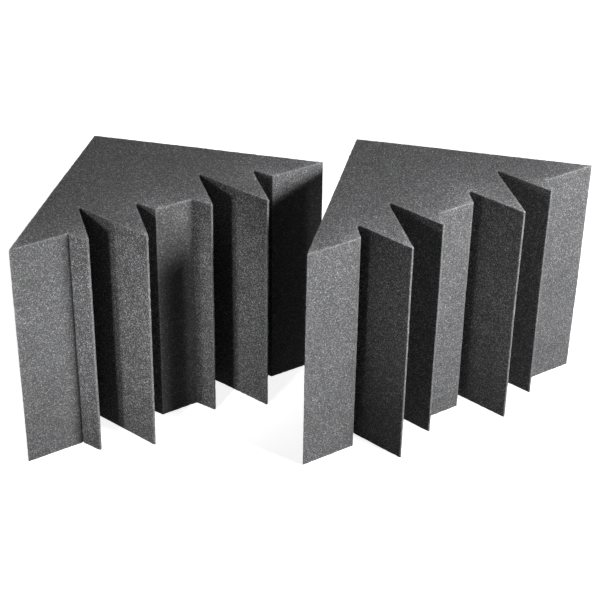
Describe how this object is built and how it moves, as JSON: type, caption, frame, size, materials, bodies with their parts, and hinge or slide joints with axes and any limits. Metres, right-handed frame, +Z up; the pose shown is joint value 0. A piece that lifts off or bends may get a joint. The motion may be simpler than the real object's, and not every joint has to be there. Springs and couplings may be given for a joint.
{
  "type": "corner bass trap",
  "caption": "Acoustic foam corner wedges with zigzag finned fronts, one of them turned upside down. Each fills a room's corner and damps low sound.",
  "frame": {"origin": "on the floor, in the middle of the box around both traps", "axes": "+Z up, +X along the row in which the traps stand, so their wall faces look along -X and +Y and their fins along +X and -Y"},
  "size_m": [0.6376, 0.3788, 0.3048],
  "materials": {
    "charcoal_foam": "matte"
  },
  "bodies": {
    "root": {"bass_trap_left": "charcoal_foam", "bass_trap_right": "charcoal_foam"}
  },
  "joints": []
}
